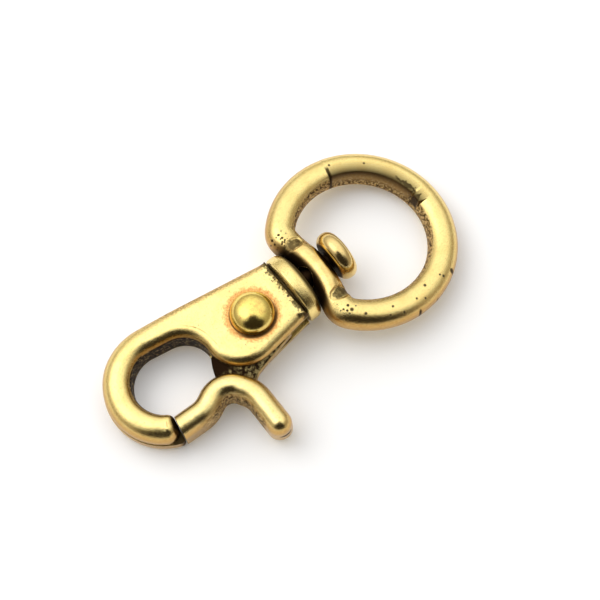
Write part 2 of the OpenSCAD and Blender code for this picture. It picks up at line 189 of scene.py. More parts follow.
def cut(obj, tool):
    """Takes a closed tool out of an object and removes the tool; the cut faces keep the tool's masks."""
    mod = obj.modifiers.new("cut", "BOOLEAN")
    mod.operation, mod.solver, mod.object = "DIFFERENCE", "EXACT", tool
    graph = bpy.context.evaluated_depsgraph_get()
    whole = obj.data
    result = obj.evaluated_get(graph)
    obj.data = bpy.data.meshes.new_from_object(result, preserve_all_data_layers=True, depsgraph=graph)
    obj.modifiers.clear()
    bpy.data.objects.remove(tool)
    bpy.data.meshes.remove(whole)


def make_piece(name, shape, where, masks, body, material, stands_for=None, cutters=()):
    """Object with a built mesh, less its closed cutters, tied to a body. The CAD node that it stands for, if
    any, is hidden.
    """
    obj = show(name, build_mesh(name, *shape, where, masks), material)
    for c_shape, c_masks in cutters:
        cut(obj, show("cutter", build_mesh("cutter", *c_shape, where, c_masks), material))
    obj.data.name = name
    obj.data.set_sharp_from_angle(angle=math.radians(50))
    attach(obj, body)
    if stands_for:
        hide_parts(stands_for)


def grid_faces(rows, cols):
    """Quads of a grid of rows by columns, the columns closing into a loop."""
    r, c = np.meshgrid(np.arange(rows - 1), np.arange(cols), indexing="ij")
    a, b = r * cols + c, r * cols + (c + 1) % cols
    return np.stack([a, b, b + cols, a + cols], -1).reshape(-1, 4)


def inward_of(loop):
    """Smoothed unit vectors that point into a counterclockwise loop."""
    d = np.roll(loop, -1, 0) - np.roll(loop, 1, 0)
    inward = np.stack([-d[:, 1], d[:, 0]], 1) / np.maximum(np.hypot(*d.T), 1e-9)[:, None]
    inward = smooth_loop(inward, 1.5)
    return inward / np.hypot(*inward.T)[:, None]


def there_and_back(pair):
    """One closed sequence out of two chains: along the first, and back along the second."""
    return np.concatenate([pair[0], pair[1][::-1]])


def slab_rows(half, wid, hei, split):
    """Rows of a slab's wall from the bottom up, each as its inset and its height: quarter superellipses
    below and above, and between them a flat wall with the parting line."""
    flat = half - hei
    quarter = np.radians(np.linspace(0, 90, QUARTER))
    ins, drop = 1 - np.sin(quarter) ** (2 / POWER), 1 - np.cos(quarter) ** (2 / POWER)
    rows = [(wid * i * LOWER, LIFT - half + hei * h * LOWER) for i, h in zip(ins, drop)]
    rows.append((0 * wid, -0.9 * flat))
    rows += [(split * inset, z * np.minimum(1, flat / SEAM_ROOM)) for z, inset in SEAM]
    rows.append((split * SEAM_INSET, 0.9 * flat))
    rows += [(wid * i + split * SEAM_INSET, half - hei * h) for i, h in zip(ins[::-1], drop[::-1])]
    return rows


def slab(right, left, half, widths, heights, crown=0.0, seam=None, flat_start=False, low_left=None):
    """Slab between a right and a left chain of points. The closed outline moves inwards along a quarter
    superellipse above and, less far, below, each point with its own width and height. A parting seam can
    run along the wall, and below it the left chain can be another one. The ends are filled with points
    between the chains' last points, row by row. The caps are strips between the chains, the upper one
    crowned in proportion to its width. Gives points, quads and, for each point, its lane, its place along
    the chain and its row."""
    columns = 16
    n, c = len(right), columns - 1
    u = np.arange(1, columns) / columns
    chain, wid, hei = there_and_back((right, left)), there_and_back(widths), there_and_back(heights)
    split = np.zeros(2 * n) if seam is None else there_and_back(seam)
    low = chain if low_left is None else there_and_back((right, low_left))
    inward, low_inward = inward_of(chain), inward_of(low)
    if flat_start:
        across = (left[0] - right[0]) / math.hypot(*(left[0] - right[0]))
        ahead = right[14] - right[9]
        perp = np.array([-ahead[1], ahead[0]]) / math.hypot(*ahead)
        for k in range(8):
            blend = across / (across @ perp) * (1 - k / 8) + perp * k / 8
            for v in (inward, low_inward):
                v[k], v[2 * n - 1 - k] = blend, -blend
    rows = slab_rows(half, wid, hei, split)
    m = 2 * (n + c)
    pts = []
    for k, (inset, z) in enumerate(rows):
        loop, into = (low, low_inward) if k < SEAM_ROW else (chain, inward)
        p = np.column_stack([loop + into * inset[:, None], z])
        far = p[n - 1] + (p[n] - p[n - 1]) * u[:, None]
        near = p[-1] + (p[0] - p[-1]) * u[:, None]
        pts.append(np.concatenate([p[:n], far, p[n:], near]))
    faces = [grid_faces(len(rows), m)]
    row_lanes = np.concatenate([np.full(n, RIGHT), np.full(c, FAR_END), np.full(n, LEFT), np.full(c, START)])
    row_places = np.concatenate([np.arange(n), np.full(c, n - 1), np.arange(n)[::-1], np.zeros(c)])
    lane = [np.tile(row_lanes, len(rows))]
    place = [np.tile(row_places, len(rows))]
    row = [np.repeat(np.arange(len(rows)), m)]
    total = len(rows) * m
    for level, sign in ((0, -1), (len(rows) - 1, 1)):
        a, b = pts[level][:n], pts[level][n + c:2 * n + c][::-1]
        mids = a[1:-1, None] + (b - a)[1:-1, None] * u[None, :, None]
        if sign > 0:
            fade = np.minimum(1, np.minimum(np.arange(1, n - 1), np.arange(n - 2, 0, -1)) / 12)
            mids[..., 2] += (crown * fade * np.hypot(*(b - a)[1:-1, :2].T))[:, None] * 4 * u * (1 - u)
        rim = level * m
        ids = np.empty((n, columns + 1), int)
        ids[:, 0] = rim + np.arange(n)
        ids[:, -1] = rim + n + c + np.arange(n)[::-1]
        ids[-1, 1:-1] = rim + n + np.arange(c)
        ids[0, 1:-1] = rim + 2 * n + c + np.arange(c)[::-1]
        ids[1:-1, 1:-1] = total + np.arange((n - 2) * c).reshape(n - 2, c)
        total += (n - 2) * c
        pts.append(mids.reshape(-1, 3))
        lane.append(np.full((n - 2) * c, CAP))
        place.append(np.repeat(np.arange(1, n - 1), c))
        row.append(np.full((n - 2) * c, level))
        quads = np.stack([ids[:-1, :-1], ids[1:, :-1], ids[1:, 1:], ids[:-1, 1:]], -1).reshape(-1, 4)
        faces.append(quads[:, ::sign])
    labels = [np.concatenate(v).astype(int) for v in (lane, place, row)]
    return np.concatenate(pts), np.concatenate(faces).tolist(), labels


def capped(rings):
    """Skin over a list of equal loops of points, closed by a fan to the middle of the first and the last
    loop."""
    n, k = len(rings[0]), len(rings)
    pts = np.concatenate(list(rings) + [rings[0].mean(0)[None], rings[-1].mean(0)[None]])
    i = np.arange(n)
    faces = grid_faces(k, n).tolist()
    faces += np.stack([np.full(n, k * n), (i + 1) % n, i], 1).tolist()
    faces += np.stack([np.full(n, k * n + 1), (k - 1) * n + i, (k - 1) * n + (i + 1) % n], 1).tolist()
    return pts, faces


def lathe(profile, n):
    """Profile of (radius, height), from the lower end up, turned round Z and closed at both ends."""
    t = np.linspace(0, 2 * math.pi, n, endpoint=False)
    return capped([np.column_stack([r * np.cos(t), r * np.sin(t), np.full(n, z)]) for r, z in profile])


def lathe_x(profile, n):
    """Profile of (radius, place along X) turned round X and closed at both ends."""
    pts, faces = lathe(profile, n)
    return pts[:, [2, 0, 1]], faces


def prism(outline, levels):
    """Closed prism over a counterclockwise outline, through (inset, height) levels from the bottom up."""
    outline = np.asarray(outline, float)
    n, k = len(outline), len(levels)
    d = np.roll(outline, -1, 0) - np.roll(outline, 1, 0)
    inward = np.stack([-d[:, 1], d[:, 0]], 1) / np.hypot(*d.T)[:, None]
    pts = np.concatenate([np.column_stack([outline + inward * e, np.full(n, z)]) for e, z in levels])
    return pts, grid_faces(k, n).tolist() + [list(range(n))[::-1], list(range((k - 1) * n, k * n))]


# Materials


class Net:
    """Short hand for adding linked nodes to one tree."""

    def __init__(self, tree):
        self.tree = tree

    def put(self, socket, value):
        if isinstance(value, bpy.types.NodeSocket):
            self.tree.links.new(value, socket)
        else:
            socket.default_value = value

    def math(self, op, a, b=0.0, clamp=False):
        n = self.tree.nodes.new("ShaderNodeMath")
        n.operation, n.use_clamp = op, clamp
        self.put(n.inputs[0], a)
        self.put(n.inputs[1], b)
        return n.outputs[0]

    def add(self, a, b):
        return self.math("ADD", a, b)

    def sub(self, a, b):
        return self.math("SUBTRACT", a, b)

    def mul(self, first, *others):
        for value in others:
            first = self.math("MULTIPLY", first, value)
        return first

    def most(self, first, *others):
        for value in others:
            first = self.math("MAXIMUM", first, value)
        return first

    def length(self, a, b):
        return self.math("SQRT", self.add(self.mul(a, a), self.mul(b, b)))

    def vector(self, op, a, b, output="Value"):
        n = self.tree.nodes.new("ShaderNodeVectorMath")
        n.operation = op
        self.put(n.inputs[0], a)
        self.put(n.inputs[1], b)
        return n.outputs[output]

    def split(self, vec):
        n = self.tree.nodes.new("ShaderNodeSeparateXYZ")
        self.put(n.inputs[0], vec)
        return n.outputs

    def ramp(self, value, lo, hi):
        n = self.tree.nodes.new("ShaderNodeMapRange")
        n.interpolation_type = "SMOOTHSTEP"
        self.put(n.inputs["Value"], value)
        self.put(n.inputs["From Min"], min(lo, hi))
        self.put(n.inputs["From Max"], max(lo, hi))
        if hi < lo:
            n.inputs["To Min"].default_value, n.inputs["To Max"].default_value = 1.0, 0.0
        return n.outputs["Result"]

    def mix(self, fac, a, b):
        n = self.tree.nodes.new("ShaderNodeMix")
        n.data_type = "RGBA"
        self.put(n.inputs[0], fac)
        self.put(n.inputs[6], a)
        self.put(n.inputs[7], b)
        return n.outputs[2]

    def noise(self, vec, scale, detail=3.0, rough=0.5):
        n = self.tree.nodes.new("ShaderNodeTexNoise")
        self.put(n.inputs["Vector"], vec)
        n.inputs["Scale"].default_value = scale
        n.inputs["Detail"].default_value = detail
        n.inputs["Roughness"].default_value = rough
        return n.outputs["Fac"]

    def cells(self, vec, scale):
        n = self.tree.nodes.new("ShaderNodeTexVoronoi")
        self.put(n.inputs["Vector"], vec)
        n.inputs["Scale"].default_value = scale
        return n.outputs["Distance"]

    def attr(self, name, output="Fac"):
        n = self.tree.nodes.new("ShaderNodeAttribute")
        n.attribute_name = name
        return n.outputs[output]


# Colours of the cast brass beside each piece's own polished tone
HONEY = (0.90, 0.66, 0.23, 1)
BROWN = (0.72, 0.45, 0.13, 1)
# Tan of surfaces that lean away from flat: painted shade
SIDE_SHADE_TAN = (0.52, 0.30, 0.09, 1)
WALL = (0.62, 0.44, 0.20, 1)
# Pale spots on pitted walls: painted glints
PALE_GLINT = (0.88, 0.70, 0.36, 1)
COPPER = (0.60, 0.25, 0.065, 1)
# Near-black of patina in pits, specks and dust, and of painted shade in gaps, grooves and hollows
PATINA_AND_SHADE = (0.022, 0.011, 0.005, 1)
BUMP_DISTANCE = 0.0004
DEGREES_PER_RADIAN = 57.296


def cast_group():
    """Cast brass: polished tops with brown blotches, painted tan shade on the sides where Side is high, brown
    walls with black pits and painted pale glints where Rough is high, near-black patina and painted shade
    where Dark is high, and a copper blush where Warm is high. Part is the piece's own millimetre coordinate."""
    g = bpy.data.node_groups.new("CastBrass", "ShaderNodeTree")
    g.interface.new_socket("Part", in_out="INPUT", socket_type="NodeSocketVector")
    g.interface.new_socket("Polished", in_out="INPUT", socket_type="NodeSocketColor")
    for key in ("Rough", "Dark", "Warm", "Side", "Gloss"):
        g.interface.new_socket(key, in_out="INPUT", socket_type="NodeSocketFloat")
    g.interface.new_socket("Color", in_out="OUTPUT", socket_type="NodeSocketColor")
    g.interface.new_socket("Roughness", in_out="OUTPUT", socket_type="NodeSocketFloat")
    g.interface.new_socket("Height", in_out="OUTPUT", socket_type="NodeSocketFloat")
    i, o = g.nodes.new("NodeGroupInput"), g.nodes.new("NodeGroupOutput")
    t = Net(g)
    part, rough, dark, side = (i.outputs[k] for k in ("Part", "Rough", "Dark", "Side"))
    broad = t.noise(part, 0.4, 2.0)
    grain = t.noise(part, 3.2, 4.0, 0.65)
    fine = t.noise(part, 9.0, 2.0, 0.6)
    blotch = t.ramp(t.noise(part, 5.0, 4.0, 0.75), 0.48, 0.68)
    pit = t.mul(t.ramp(t.cells(part, 2.6), 0.38, 0.18), rough)
    speck = t.mul(t.ramp(t.add(grain, t.mul(dark, 0.25)), 0.50, 0.56), rough)
    stain_and_shade = t.most(dark, speck, pit)
    # Painted shade: the more a surface leans away from flat, the more it turns tan
    edge = t.math("MULTIPLY", side, t.add(0.55, t.mul(grain, 0.7)), True)
    tone = t.mix(t.mul(t.ramp(broad, 0.42, 0.7), 0.5), i.outputs["Polished"], HONEY)
    tone = t.mix(t.mul(blotch, 0.5), tone, BROWN)
    tone = t.mix(edge, tone, SIDE_SHADE_TAN)
    tone = t.mix(t.mul(rough, 0.5), tone, WALL)
    # Painted glints: pale spots where the grain is low on pitted walls
    tone = t.mix(t.mul(t.ramp(grain, 0.44, 0.36), rough), tone, PALE_GLINT)
    tone = t.mix(i.outputs["Warm"], tone, COPPER)
    # Near-black where Dark is high: patina, and painted shade where the pieces set it in gaps and hollows
    g.links.new(t.mix(stain_and_shade, tone, PATINA_AND_SHADE), o.inputs["Color"])
    r = t.add(i.outputs["Gloss"], t.mul(t.ramp(fine, 0.35, 0.75), 0.06))
    r = t.add(r, t.mul(side, 0.08))
    g.links.new(t.add(r, t.mul(t.most(rough, stain_and_shade), 0.35)), o.inputs["Roughness"])
    h = t.add(t.mul(t.sub(grain, pit), rough), t.mul(fine, 0.10))
    g.links.new(t.add(h, t.mul(broad, 0.3)), o.inputs["Height"])
    return g


CAST = cast_group()


def brass(name, polished, gloss, marks=None, bump=0.5):
    """Brass material reading the piece's masks through the shared group; marks changes the masks first."""
    m = bpy.data.materials.new(name)
    m.use_nodes = True
    tree = m.node_tree
    t = Net(tree)
    bsdf = tree.nodes["Principled BSDF"]
    bsdf.inputs["Metallic"].default_value = 1.0
    g = tree.nodes.new("ShaderNodeGroup")
    g.node_tree = CAST
    part = t.attr("part_mm", "Vector")
    masks = {k: t.attr(k.lower()) for k in ("Rough", "Dark", "Warm", "Side")}
    if marks:
        marks(t, part, masks)
    t.put(g.inputs["Part"], part)
    g.inputs["Polished"].default_value = (*polished, 1)
    g.inputs["Gloss"].default_value = gloss
    for key, val in masks.items():
        t.put(g.inputs[key], val)
    tree.links.new(g.outputs["Color"], bsdf.inputs["Base Color"])
    tree.links.new(g.outputs["Roughness"], bsdf.inputs["Roughness"])
    b = tree.nodes.new("ShaderNodeBump")
    b.inputs["Strength"].default_value = bump
    b.inputs["Distance"].default_value = BUMP_DISTANCE
    tree.links.new(g.outputs["Height"], b.inputs["Height"])
    tree.links.new(b.outputs["Normal"], bsdf.inputs["Normal"])
    return m


def hook_marks(t, part, masks):
    """Copper halo round the rivet with a painted shadow at its foot, wider towards -Y, dark specks that thin
    out from the neck groove, and dust and grit in patches of the top."""
    x, y, z = t.split(part)
    dy = t.sub(y, float(RIVET[1]))
    r = t.length(x, dy)
    top = t.ramp(z, 2.2, 2.4)
    fuzz = t.sub(t.noise(part, 2.2, 4.0, 0.7), 0.5)
    mottle = t.add(0.55, t.mul(t.ramp(t.noise(part, 6.0, 4.0, 0.7), 0.38, 0.6), 0.45))
    halo = t.mul(t.ramp(t.add(r, t.mul(fuzz, 1.6)), 4.1, 3.4), top, mottle)
    masks["Warm"] = t.most(masks["Warm"], halo)
    # Painted shadow round the rivet's foot, reaching further out on the -Y side
    below = t.ramp(t.math("DIVIDE", dy, r), 0.1, -0.7)
    foot = t.mul(t.most(t.ramp(r, 3.22, 3.0), t.mul(t.ramp(r, 3.5, 3.15), below)), top)
    spread = t.add(t.ramp(x, 3.5, 5.75), t.mul(t.ramp(x, 5.3, 5.8), 0.3))
    spread = t.sub(spread, t.mul(t.noise(part, 3.4, 3.0, 0.7), 1.75))
    specks = t.mul(t.ramp(spread, -0.25, 0.05), t.ramp(x, 5.92, 5.84))
    dust = t.mul(t.ramp(t.cells(part, 1.3), 0.13, 0.06), t.ramp(t.noise(part, 0.5, 1.0), 0.52, 0.62))
    grit = t.mul(t.ramp(t.cells(part, 4.5), 0.2, 0.1), t.ramp(t.noise(part, 0.8, 3.0, 0.6), 0.42, 0.58))
    dust = t.mul(t.most(dust, grit), top)
    masks["Dark"] = t.most(masks["Dark"], t.mul(foot, 0.85), t.mul(specks, 0.87), t.mul(dust, 0.7))


# Pits of the ring as (x, y, size), its pitted patches as (x, y), and its worn facets as (x, y, scales, reach)
RING_PITS = (
    (2.78, 10.89, 0.16), (6.92, 8.38, 0.17), (4.54, -10.62, 0.14), (4.89, -11.04, 0.18), (6.55, -10.95, 0.3),
    (1.85, -10.69, 0.2), (-0.25, -11.53, 0.15), (0.82, -12.11, 0.13), (-3.59, -10.57, 0.16),
    (-7.14, -9.28, 0.2), (-4.55, -11.31, 0.14), (-8.28, -7.76, 0.24), (-2.76, -12.05, 0.16),
    (-0.55, -13.02, 0.2), (2.66, -12.97, 0.18))
RING_PATCHES = ((-9.8, 6.0), (-8.4, -7.0))
RING_FACETS = ((-8.6, 4.15, (0.8, 1.3), 1.25), (-7.9, -4.9, (0.75, 1.25), 1.3))


def ring_marks(t, part, masks):
    """Casting flaws on the ring: pits as ragged dots, and on the upper half a jagged edge, tooth and
    crack along the inner cutback, and two pitted patches and two worn facets by the bar."""
    flat = t.vector("MULTIPLY", part, (1, 1, 0), "Vector")
    crumble = t.mul(t.noise(part, 5.0, 2.0), 0.14)
    for px, py, size in RING_PITS:
        gap = t.add(t.vector("DISTANCE", flat, (px, py, 0)), crumble)
        dot = t.ramp(gap, size * 1.5 + 0.07, size * 0.6 + 0.07)
        masks["Dark"] = t.most(masks["Dark"], t.mul(dot, 0.9))
    x, y, z = t.split(part)
    r = t.length(x, y)
    angle = t.mul(t.math("ARCTAN2", y, x), DEGREES_PER_RADIAN)
    ragged = t.sub(t.noise(part, 1.3, 4.0, 0.7), 0.5)
    edge = t.math("ABSOLUTE", t.sub(t.add(r, t.mul(ragged, 1.7)), 9.95))
    jag = t.mul(t.ramp(edge, 0.34, 0.16), t.ramp(angle, 3.0, 6.0), t.ramp(angle, 34.0, 22.0))
    tooth = t.add(t.math("ABSOLUTE", t.sub(angle, 1.0)), t.mul(t.sub(r, 9.2), 3.2))
    tooth = t.ramp(t.add(tooth, t.mul(ragged, 4.0)), 4.4, 3.6)
    crack = t.ramp(t.math("ABSOLUTE", t.sub(t.add(angle, ragged), 78.4)), 1.8, 0.9)
    crack = t.mul(crack, t.ramp(r, 11.4, 10.7))
    marks = t.most(jag, tooth, crack)
    dots = t.ramp(t.add(t.cells(part, 1.9), t.mul(ragged, 0.5)), 0.40, 0.30)
    for px, py in RING_PATCHES:
        far = t.length(t.sub(x, px), t.sub(y, py))
        marks = t.most(marks, t.mul(dots, t.ramp(far, 1.7, 0.9)))
    worn = t.add(0.68, t.mul(t.ramp(t.noise(part, 1.6, 4.0, 0.7), 0.62, 0.44), 0.24))
    for px, py, (sx, sy), _ in RING_FACETS:
        far = t.length(t.mul(t.sub(x, px), sx), t.mul(t.sub(y, py), sy))
        facet = t.ramp(t.add(far, t.mul(ragged, 1.6)), 1.15, 0.75)
        marks = t.most(marks, t.mul(facet, worn))
    masks["Dark"] = t.most(masks["Dark"], t.mul(marks, t.ramp(z, 0.0, 0.4), 0.92))


def lever_marks(t, part, masks):
    """Small nick at the tip of the thumb tab, and the web's patina and painted shade worn thin in patches low
    on the web.
    """
    stretch = np.array([0.5, 1.0, 1.8])
    stretched = t.vector("MULTIPLY", part, stretch, "Vector")
    gap = t.vector("DISTANCE", stretched, stretch * (-6.1, -15.2, -0.1))
    nick = t.ramp(t.add(gap, t.mul(t.noise(part, 3.0), 0.3)), 0.72, 0.6)
    x, y, _ = t.split(part)
    low = t.mul(t.ramp(y, -3.6, -4.6), t.ramp(x, -9.6, -9.2))
    worn = t.mul(t.ramp(t.noise(part, 2.4, 4.0, 0.7), 0.47, 0.6), low, 0.4)
    masks["Dark"] = t.most(t.mul(masks["Dark"], t.sub(1.0, worn)), nick)


def rivet_marks(t, part, masks):
    """Faint brown mottling on the dome."""
    masks["Warm"] = t.mul(t.ramp(t.noise(part, 1.1, 5.0, 0.7), 0.46, 0.66), 0.4)


HOOK_BRASS = brass("hook_brass", (0.97, 0.78, 0.31), 0.19, hook_marks)
LEVER_BRASS = brass("lever_brass", (0.97, 0.80, 0.35), 0.16, lever_marks)
RING_BRASS = brass("ring_brass", (0.97, 0.78, 0.31), 0.17, ring_marks)
RIVET_BRASS = brass("rivet_brass", (0.95, 0.76, 0.20), 0.13, rivet_marks, 0.2)
STUD_BRASS = brass("stud_brass", (0.96, 0.77, 0.33), 0.15, bump=0.15)

# Hook body: the circles of its outline, the plate's end, and the lean of the nose's end face
HOOK_C, HOOK_R = np.array([-14.5, 0.0]), 8.13
IN_C, IN_R = np.array([-14.2, 0.0]), 4.5
END_C, END_R = np.array([-11.4, 0.0]), 4.0
LOBE_C = np.array([-2.2, -0.5])
LOBE_R = math.hypot(*(LOBE_C - END_C)) - END_R
PLATE_END, PLATE_W = 5.78, 4.65
LEAN_DEG = 9
LEAN = math.radians(LEAN_DEG)
OUT = np.array([math.cos(LEAN), -math.sin(LEAN)])
DOWN = np.array([-math.sin(LEAN), -math.cos(LEAN)])
NOSE_AT = OUT @ np.array([-16.45, -5.756])
GATE_AT = NOSE_AT + 0.07
# Corner radii of the nose: outer above the parting line, outer below it, inner
NOSE_TOP_R, NOSE_LOW_R, NOSE_IN_R = 1.7, 0.5, 1.15
N_ARM, N_PLATE = 280, 280
SLOT_R, SLOT_SIDE = 4.6, -35


def touch(p, c, r, side):
    """Heading from p to where a line touches a circle."""
    return heading(c - p) + side * math.degrees(math.asin(r / math.hypot(*(c - p))))


def nose_corner(c, far, inset):
    """Middle of a corner rounding that lies an inset behind the nose's end face and at a distance from a
    centre."""
    depth = NOSE_AT - inset - OUT @ c
    return c + depth * OUT + math.sqrt(far ** 2 - depth ** 2) * DOWN


def arm_and_plate(arm, plate):
    """One chain of the hook: points evenly spaced along the arm, then along the plate."""
    return np.concatenate([resample(arm, N_ARM), resample(plate, N_PLATE)[1:]])


def hook_chains(ro):
    """Inner and outer chains of the hook from nose to neck: circle arcs joined by lines that touch them."""
    ri = NOSE_IN_R
    oc, ic = nose_corner(HOOK_C, HOOK_R - ro, ro), nose_corner(IN_C, IN_R + ri, ri)
    a_out, a_in = heading(oc - HOOK_C) % 360, heading(ic - IN_C) % 360
    spine_end, belly_end = np.array([PLATE_END, PLATE_W]), np.array([PLATE_END, -PLATE_W])
    a_spine = (touch(spine_end, HOOK_C, HOOK_R, -1) - 90) % 360
    a_throat = math.degrees(math.acos((IN_R - END_R) / (END_C[0] - IN_C[0])))
    a_lobe = heading(LOBE_C - END_C)
    a_belly = (touch(belly_end, LOBE_C, LOBE_R, 1) + 90) % 360
    nose_out, nose_in = arc(oc, ro, -LEAN_DEG, a_out - 360, 50), arc(ic, ri, -LEAN_DEG, a_in - 180, 24)
    outer_arm = np.concatenate([nose_out, arc(HOOK_C, HOOK_R, a_out, a_spine, 200)[1:]])
    inner_arm = np.concatenate([nose_in, arc(IN_C, IN_R, a_in, a_throat, 200)[1:]])
    throat = arc(END_C, END_R, a_throat, a_lobe, 80)
    lobe = arc(LOBE_C, LOBE_R, 180 + a_lobe, a_belly, 120)[1:]
    belly = np.concatenate([inner_arm[-1:], throat, lobe, belly_end[None]])
    spine = np.stack([outer_arm[-1], spine_end])
    return arm_and_plate(inner_arm, belly), arm_and_plate(outer_arm, spine)


def make_hook():
    """Hook with nose and slotted plate: a slab between the inner and the outer chain, whose edges are
    less rounded on the plate, at the nose and at the neck, and whose parting line runs along the outer
    wall of the arm."""
    inner, outer = hook_chains(NOSE_TOP_R)
    outer_low = hook_chains(NOSE_LOW_R)[1]
    count = len(inner)
    s = np.arange(count)
    to_plate = step(N_ARM - 60, N_ARM + 90, s)
    at_nose = 1 - step(8, 46, s)
    near_neck = 1 - 0.75 * step(count - 16, count - 1, s)
    w_in = (1.5 - 0.1 * to_plate) * (1 - 0.25 * at_nose) * near_neck
    w_out = (2.1 - 0.9 * to_plate) * (1 - 0.35 * at_nose) * near_neck
    h_in = (1.6 - 0.3 * to_plate) * (1 - 0.1 * at_nose)
    h_out = 2.05 - 0.95 * to_plate
    seam = step(2, 14, s) * (1 - step(150, 210, s))
    verts, faces, (lane, place, row) = slab(
        inner, outer, SKIN_T, (w_in, w_out), (h_in, h_out), 0.008, seam=(0 * seam, seam), low_left=outer_low)
    x, _, z = verts.T
    inner_wall, outer_wall = lane == RIGHT, lane == LEFT
    walls = inner_wall | outer_wall
    end_face = lane == START
    notch = outer_wall & (row >= SEAM_ROW) & (row <= SEAM_ROW + 1)
    ledge = outer_wall & (row >= SEAM_ROW - 2) & (row <= SEAM_ROW + 1)
    upper_edge = outer_wall & (row >= TOP_ROW)
    rough = np.where(inner_wall & (z < HALF_T - 0.95), step(26, 60, place) * step(-3.2, -5.2, x), 0)
    # Spine edge: specks, and a painted reflection of darker surroundings as brown and copper tone
    spine = np.where(upper_edge, to_plate[place] * step(LAST_ROW + 0.5, LAST_ROW - 4, row), 0)
    dark = np.maximum.reduce([
        # Painted shade in the gap to the gate: the nose's end face and the walls next to it
        np.where(end_face & (z < HALF_T - 0.3), 0.92, 0),
        np.where(walls & (z < HALF_T - 0.35), 0.92 * step(16, 6, place), 0),
        np.where(notch, 0.9 * seam[place], 0),
        np.where(ledge, 0.92 * step(34, 20, place), 0),
        0.45 * rough])
    masks = {"rough": np.maximum(rough, 0.4 * spine), "dark": dark, "warm": 0.25 * spine}
    slot_end = polar(RIVET, 12.4, SLOT_SIDE)
    slot_round = arc(RIVET, SLOT_R, SLOT_SIDE, 160, 60)
    slot_outline = np.concatenate([slot_round, [(-9.6, -1.2), (-9.6, -12.4), slot_end]])
    # The slot's cut faces: painted shade, near-black and tan
    slot_cut = (prism(slot_outline, ((0, -SLOT), (0, SLOT))), {"rough": 0.4, "dark": 0.85, "side": 1.0})
    make_piece("hook_casting", (verts, faces), HOOK_FRAME, masks, "hook", HOOK_BRASS,
               "hook_body", [slot_cut])


make_hook()

# Neck groove as (x, half width, half height), and the collar behind it
GROOVE = [(4.9, 4.1, 2.2), (5.3, 4.4, 2.34), (5.8, 4.45, 2.38), (5.9, 4.5, 2.6), (5.94, 4.58, 3.0)]
COLLAR_X, COLLAR_FACE = 5.95, 7.95
COLLAR_W, COLLAR_H = 5.05, 4.17
BACK_R, FRONT_R = 0.35, 0.9
COLLAR_BULGE, FACE_DOME = 0.35, 0.1


def make_collar():
    """Neck groove and oval collar: ellipses along X with a small rounding behind and a larger one at the
    face, which bulges in the middle of its width."""
    quarter = np.radians(np.linspace(0, 90, 12))
    rings = list(GROOVE)
    for a in quarter:
        less = BACK_R * (1 - math.sin(a))
        rings.append((COLLAR_X + BACK_R * (1 - math.cos(a)), COLLAR_W - less, COLLAR_H - less))
    for a in quarter:
        less = FRONT_R * (1 - math.cos(a))
        rings.append((COLLAR_FACE - FRONT_R * (1 - math.sin(a)), COLLAR_W - less, COLLAR_H - less))
    for u in np.linspace(0.1, 0.7, 7):
        dome = FACE_DOME * (1 - (1 - u) ** 2)
        rings.append((COLLAR_FACE + dome, (COLLAR_W - FRONT_R) * (1 - u), (COLLAR_H - FRONT_R) * (1 - u)))
    t = np.linspace(0, 2 * math.pi, 180, endpoint=False)
    loops = []
    for cx, w, h in rings:
        cy = w * np.cos(t)
        bulge = COLLAR_BULGE * step(6.6, COLLAR_FACE, cx) * (1 - (cy / COLLAR_W) ** 2)
        loops.append(np.column_stack([cx + bulge, cy, h * np.sin(t)]))
    shape = capped(loops)
    x = shape[0][:, 0]
    # Painted shade: near-black in the neck groove and on the face towards the ring, and a faint tan all over
    dark = np.maximum(0.75 * step(5.94, 5.84, x), 0.9 * step(7.5, COLLAR_FACE, x))
    masks = {"rough": 0.8 * step(6.02, COLLAR_X, x), "dark": dark, "side": 0.06}
    make_piece("hook_collar", shape, HOOK_FRAME, masks, "hook", HOOK_BRASS)


make_collar()

# Lever: half its width, its bends with the radius and the points of each rounding, and its web
BAR = 1.7
GATE_Y = -6.15
GATE_X = (GATE_AT - OUT[1] * GATE_Y) / OUT[0]
BENDS = [(GATE_X, GATE_Y), ((GATE_X - 8.4) / 2, -6.3), (-8.4, -4.25), (-6.0, -8.45), (-6.05, -13.53)]
BEND_ROUNDING = ((4, 40), (3, 60), (4, 40))
EDGE_W, RIGHT_H, LEFT_H = 1.66, 2.0, 1.8
WEB_TOP, WEB_T, WEB_BEVEL = SLOT - 0.12, 1.25, 0.12
WEB_BACK = [(-7.7, -1.2), (-8.25, -2.2), (-8.55, -2.9), (-8.75, -3.6), (-9.0, -4.5), (-5.3, -7.45)]
WEB_BORE = 1.55


